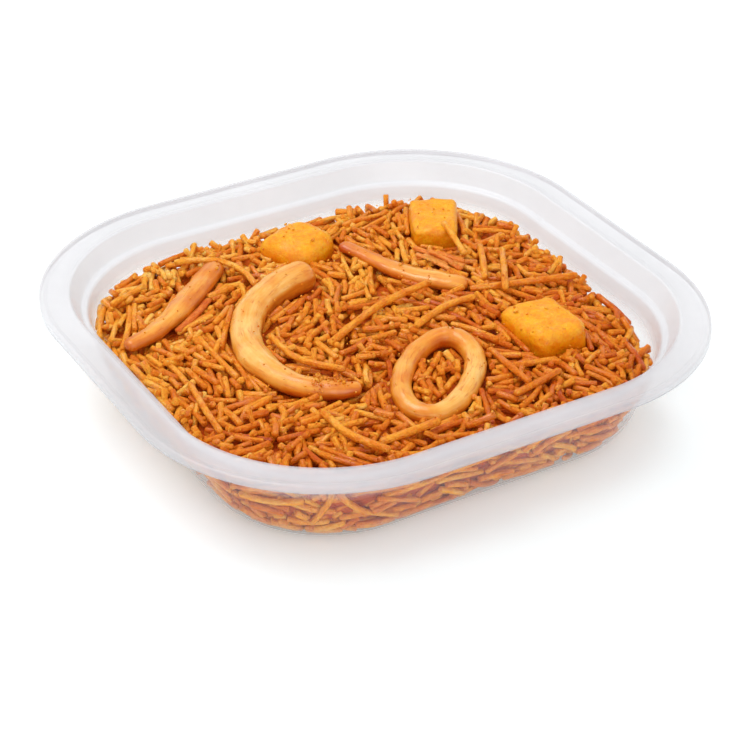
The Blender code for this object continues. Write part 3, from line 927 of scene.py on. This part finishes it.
def lay_ends(strands, heap, draw, count, highest=END_RISE, widest=FAR):
    """Noodles that dive into the heap, so that one end of each stands out of it."""
    laid = 0
    for _ in range(count * 16):
        if laid == count:
            break
        x, y = draw.uniform([-r for r in HEAP_REACH], HEAP_REACH)
        if not EDGE_GAP < depth_inside(x, y, LEDGE_INNER) < widest:
            continue
        yaw = draw.uniform(0, 2 * math.pi)
        steep = math.radians(draw.uniform(*END_SLOPES))
        run = np.linspace(-draw.uniform(1.0, 4.5), draw.uniform(4.0, 7.0), LINE_POINTS)
        z = heap.height(x, y) - END_SINK - math.sin(steep) * run
        x = x + math.cos(yaw) * math.cos(steep) * run
        y = y + math.sin(yaw) * math.cos(steep) * run
        i, j = heap.cells(x, y)
        clear = (z < (heap.ceiling[i, j] - heap.cap).min(axis=1)).all()
        room = depth_inside(x, y, wall_inset(z - WALL_GAP)).min()
        if clear and room > NOODLE and z[0] + END_TIP < heap_level(x[0], y[0]) + highest:
            heap.lay(x, y, z)
            radius = noodle_radius(draw)
            shade = noodle_shade(draw) * END_SHADE[0] + END_SHADE[1]
            strands.add(np.stack([x, y, z], axis=1), radius, shade)
            laid += 1


def lay_single(strands, heap):
    """The noodles that stand out, and those that lie over the toppings' edges."""
    for plan, radius, shade in LAID_NOODLES:
        line = smooth_line(plan, LINE_POINTS)
        z, _ = heap.rest(line[:, 0], line[:, 1], 0.5)
        heap.lay(line[:, 0], line[:, 1], z + radius - NOODLE, radius)
        strands.add(np.c_[line, z + (radius - NOODLE) * 0.5], radius, shade)


def lay_flakes(strands, heap):
    """Slivers of flesh beside the back strip."""
    draw = np.random.default_rng(3)
    middle = smooth_line(FLAKE_LINE, LINE_POINTS)
    for _ in range(FLAKE_COUNT):
        part = draw.uniform(0.0, 0.45)
        first = int(part * LINE_POINTS)
        line = smooth_line(middle[first : first + draw.integers(6, 9)], LINE_POINTS)
        line = line + draw.uniform(-2.2, 2.2, 2)
        line = line + np.linspace(-1, 1, LINE_POINTS)[:, None] * draw.normal(0, 0.6, 2)
        z, _ = heap.rest(line[:, 0], line[:, 1], 0.3)
        z = z - 0.5
        heap.lay(line[:, 0], line[:, 1], z - 0.7)
        strands.add(np.c_[line, z], draw.uniform(0.8, 1.2), draw.uniform(0.3, 0.9), 0.6)


def scatter_crumbs(heap, finish):
    """Grains of spice and broken noodle on the heap."""
    draw = np.random.default_rng(17)
    work = bmesh.new()
    bmesh.ops.create_icosphere(work, subdivisions=1, radius=1.0)
    work.verts.index_update()
    points = np.array([tuple(vert.co) for vert in work.verts])
    faces = np.array([[vert.index for vert in face.verts] for face in work.faces])
    work.free()
    grains = Strands((points, faces))
    while len(grains.made) < GRAIN_COUNT:
        x, y = draw.uniform([-r for r in GRAIN_REACH], GRAIN_REACH)
        if len(grains.made) < CLUSTER_COUNT:
            x, y = draw.normal(CLUSTER_SPOT, CLUSTER_SPREAD)
        if depth_inside(x, y, LEDGE_INNER) < 7:
            continue
        size = draw.uniform(0.18, 0.42) if draw.uniform() < 0.96 else draw.uniform(0.5, 0.8)
        spin = np.array(Matrix.Rotation(draw.uniform(0, 6.28), 3, Vector(draw.normal(0, 1, 3))))
        shape = points * draw.uniform(0.6, 1.2, 3) * (1 + draw.uniform(-0.15, 0.15, (len(points), 1)))
        spot = np.array((x, y, heap.height(x, y) + size * 0.2)) + shape @ spin.T * size
        shade = draw.uniform(0.2, 1.0)
        grains.made.append((spot * MM, spot * MM, np.full(len(points), shade)))
    return grains.make("spice_grains", finish, "noodles")


def sweep(line, widths, pale, flat, sides, closed, blunt, shape):
    """Circles along a line, each turned across it and reshaped, then bridged; pale sets the shade along it,
    the piece's own tone with painted light and shade.
    """
    line = np.asarray(line, float)
    total = len(line)
    stations = []
    for i, spot in enumerate(line):
        before = line[i - 1] if closed or i else spot
        after = line[(i + 1) % total] if closed or i < total - 1 else spot
        stations.append((Vector(spot), Vector(after - before).normalized(), widths[i], i / total))
    if not closed:
        cap = [(reach, math.sqrt(1 - reach**2)) for reach in (0.35, 0.62, 0.82, 0.94)]
        for end, sign in ((0, -1), (-1, 1)):
            spot, way, width, t = stations[end]
            extra = [(spot + way * sign * width * r * (1 - blunt), way, width * s, t) for r, s in cap]
            stations = extra[::-1] + stations if end == 0 else stations + extra
    work = bmesh.new()
    strand = work.verts.layers.float_vector.new("strand")
    shade = work.verts.layers.float.new("shade")
    run = [0.0]
    for first, second in zip(stations, stations[1:]):
        run.append(run[-1] + (second[0] - first[0]).length)
    loops = []
    for (spot, way, width, t), gone in zip(stations, run):
        side = way.cross(UP).normalized()
        over = side.cross(way)
        turned = Matrix((side, over, way)).transposed().to_4x4()
        turned.translation = spot
        made = bmesh.ops.create_circle(work, radius=width, segments=sides)["verts"]
        for vert in made:
            angle = math.atan2(vert.co.y, vert.co.x)
            vert.co = vert.co * shape(t, angle)
            vert.co.y *= flat
            mirrored = min(gone, run[-1] - gone) if closed else gone
            vert[strand] = Vector((mirrored, vert.co.x, vert.co.y)) * MM
            vert[shade] = float(np.interp(t, np.linspace(0, 1, len(pale)), pale))
        bmesh.ops.transform(work, matrix=turned, verts=made)
        loops.append(list({edge for vert in made for edge in vert.link_edges}))
    bridge(work, loops, closed)
    if not closed:
        bmesh.ops.edgeloop_fill(work, edges=loops[0])
        bmesh.ops.edgeloop_fill(work, edges=loops[-1])
    bmesh.ops.recalc_face_normals(work, faces=work.faces)
    return work


def wrinkle(work, size, depth, seed):
    """Moves each point along its normal by soft noise of this size."""
    work.normal_update()
    shift = Vector((seed * 7.3, seed * 3.1, seed * 5.7))
    for vert in work.verts:
        vert.co += vert.normal * depth * noise.noise(vert.co / size + shift)


def round_section(t, angle):
    """A plain round section, all along."""
    return 1.0


def folded_section(t, angle):
    """A shallow groove along the inner side and a seam over it."""
    fold = math.exp(-((abs(angle) - math.pi) ** 2) / 0.10)
    seam = math.exp(-((angle - 2.3) ** 2) / 0.04)
    return 1 - 0.10 * fold - 0.07 * seam * min(1, 2 * t)


def pressed_section(t, angle):
    """A long dent beside the top."""
    return 1 - 0.09 * math.exp(-((angle - 1.2) ** 2) / 0.08)


def build_squid(finish):
    """The closed ring, the open curl and the two strips."""
    ring = (ring_line(110), np.full(110, RING_TUBE))
    curl = (level_line(CURL_LINE, CURL_LEVEL, 100), curl_widths(100))
    left = (level_line(LEFT_LINE, LEFT_LEVEL, 60), strip_widths(LEFT_HALF, LEFT_FULLEST, 60))
    back = (level_line(BACK_LINE, BACK_LEVEL, 60), strip_widths(BACK_HALF, BACK_FULLEST, 60))
    # The pale values paint light and shade along each piece on top of its own tone: the curl lighter on its
    # lit left side and darker at its shaded lower end
    pieces = (
        ("squid_ring", ring, (0.2, 0.35, 0.5, 0.8, 0.2), RING_FLAT, True, 0.0, round_section),
        ("squid_curl", curl, (0.55, 0.7, 0.95, 0.6, 0.15), CURL_FLAT, False, 0.35, folded_section),
        ("squid_strip_left", left, (0.15, 0.3, 0.4, 0.45), STRIP_FLAT, False, 0.2, pressed_section),
        ("squid_strip_back", back, (0.15, 0.2, 0.5, 0.55), STRIP_FLAT, False, 0.2, pressed_section),
    )
    for seed, (node, (line, widths), pale, flat, closed, blunt, shape) in enumerate(pieces):
        work = sweep(line, widths, pale, flat, SQUID_SIDES, closed, blunt, shape)
        for turn, (size, depth) in enumerate(SQUID_WRINKLES):
            wrinkle(work, size, depth, seed + 5 * turn)
        take(node + "_flesh", work, finish, node)


def build_chunks(finish):
    """Cut blocks with rounded edges, dented a little."""
    for seed, (node, (centre, size, yaw, radius)) in enumerate(CHUNKS.items()):
        work = bmesh.new()
        bmesh.ops.create_cube(work, size=2.0)
        bmesh.ops.subdivide_edges(work, edges=work.edges, cuts=CHUNK_CUTS, use_grid_fill=True)
        flats = [half / 2 - radius for half in size]
        for vert in work.verts:
            full = Vector([c * half / 2 for c, half in zip(vert.co, size)])
            held = Vector([max(-flat, min(flat, c)) for c, flat in zip(full, flats)])
            vert.co = held + (full - held).normalized() * radius
            vert.co.x *= 1 + CHUNK_SKEW * vert.co.y
            vert.co.y *= 1 - CHUNK_SKEW * vert.co.x
        turn = Matrix.Translation(centre) @ Matrix.Rotation(math.radians(yaw), 4, "Z")
        bmesh.ops.transform(work, matrix=turn, verts=work.verts)
        for layer, (wave, depth) in enumerate(CHUNK_WRINKLES):
            wrinkle(work, wave, depth, 11 + 10 * layer + seed)
        take(node + "_flesh", work, finish, node)


def build_stage():
    """A white table, soft studio light, and the camera."""
    finish = Finish("white_table", Roughness=0.9)
    finish.set(Emission_Color=(0.73, 1.0, 1.06), Emission_Strength=TABLE_GLOW)
    whites = ((0.3, (0.88, 0.88, 0.885)), (0.7, (0.90, 0.90, 0.90)))
    finish.set(Base_Color=finish.ramp(finish.noise(3.0), *whites))
    work = bmesh.new()
    bmesh.ops.create_grid(work, x_segments=2, y_segments=2, size=TABLE_SIZE)
    mesh = bpy.data.meshes.new("table")
    work.to_mesh(mesh)
    work.free()
    mesh.materials.append(finish.material)
    table = bpy.data.objects.new("table", mesh)
    bpy.context.scene.collection.objects.link(table)

    world = bpy.data.worlds.new("studio")
    world.use_nodes = True
    room = world.node_tree.nodes["Background"]
    room.inputs["Color"].default_value = (1.0, 1.0, 1.0, 1.0)
    room.inputs["Strength"].default_value = ROOM_LIGHT
    bpy.context.scene.world = world
    for name, spot, size, power in LAMPS:
        lamp = bpy.data.lights.new(name, "AREA")
        lamp.size = size
        lamp.energy = power
        light = bpy.data.objects.new(name, lamp)
        light.location = spot
        light.rotation_euler = (-Vector(spot)).to_track_quat("-Z", "Y").to_euler()
        bpy.context.scene.collection.objects.link(light)

    azimuth = math.radians(CAMERA_AZIMUTH)
    elevation = math.radians(CAMERA_ELEVATION)
    way = Vector(
        (
            math.sin(azimuth) * math.cos(elevation),
            -math.cos(azimuth) * math.cos(elevation),
            math.sin(elevation),
        )
    )
    lens = bpy.data.cameras.new("camera")
    lens.lens = CAMERA_LENS
    camera = bpy.data.objects.new("camera", lens)
    camera.location = (Vector(CAMERA_AIM) + way * CAMERA_DISTANCE) * MM
    camera.rotation_euler = (-way).to_track_quat("-Z", "Y").to_euler()
    bpy.context.scene.collection.objects.link(camera)
    bpy.context.scene.camera = camera
    bpy.context.scene.view_settings.view_transform = "Standard"


def build_noodles(finish, dark, flesh):
    """The core, the noodles round and over it, and what lies on them."""
    build_core(dark)
    template = noodle_template(NOODLE_BANDS)

    def ground(x, y):
        outside = depth_inside(x, y, float(wall_inset(19.0))) < 0
        return np.where(outside, 12.0, heap_level(x, y) - CORE_DEPTH)

    def ceiling(x, y):
        return topping_levels(x, y, TOPPING_ROOM)[0]

    heap = Pile([-r for r in MAP_REACH], MAP_REACH, ground, ceiling, TOP_SINK)
    below = Strands(template)
    lay_floor(below)
    lay_wall(below, heap)
    below.make("noodles_on_wall", finish, "noodles")

    draw = np.random.default_rng(21)
    top = Strands(template)
    ends = Strands(noodle_template(1))
    for top_round, end_count in zip(TOP_ROUNDS, END_ROUNDS):
        lay_top(top, heap, draw, *top_round)
        lay_ends(ends, heap, draw, end_count)
    lay_top(top, heap, draw, *FILL_ROUND)
    lay_ends(ends, heap, draw, *EDGE_ROUND)
    ends.make("noodle_ends", finish, "noodles")
    heap.ground = np.maximum(heap.ground, topping_levels(heap.gx, heap.gy)[1])
    lay_single(top, heap)
    top.make("noodles_on_top", finish, "noodles")

    flakes = Strands(template)
    lay_flakes(flakes, heap)
    line = smooth_line(SHRED_LINE, LINE_POINTS)
    z, _ = heap.rest(line[:, 0], line[:, 1], 0.3)
    flakes.add(np.c_[line, z - SHRED_SINK], SHRED_RADIUS, SHRED_SHADE, SHRED_FLAT)
    flakes.make("flesh_slivers", flesh, "noodles")
    scatter_crumbs(heap, finish)


noodle_tones = (
    (0.02, tint(162, 46, 0)),
    (0.26, tint(202, 88, 5)),
    (0.50, tint(229, 126, 17)),
    (0.72, tint(248, 168, 48)),
    (0.94, tint(255, 204, 104)),
)
# The core's tones: sauce, made darker as painted shade for the gaps between noodles
sauce_and_gap_shade_tones = (
    (0.05, tint(150, 44, 0)),
    (0.30, tint(196, 76, 3)),
    (0.55, tint(224, 108, 12)),
    (0.80, tint(240, 136, 28)),
    (1.00, tint(248, 160, 50)),
)
sliver_tones = (
    (0.10, tint(176, 62, 6)),
    (0.36, tint(220, 108, 28)),
    (0.58, tint(242, 146, 58)),
    (0.80, tint(252, 176, 92)),
    (1.00, tint(255, 196, 120)),
)

build_tray(tray_finish())
build_noodles(
    noodle_finish("toasted_noodle", 0.6, *noodle_tones),
    noodle_finish("noodle_sauce_and_gap_shade", 0.1, *sauce_and_gap_shade_tones),
    noodle_finish("flesh_sliver", 0.3, *sliver_tones),
)
build_squid(squid_finish())
build_chunks(chunk_finish())
build_stage()
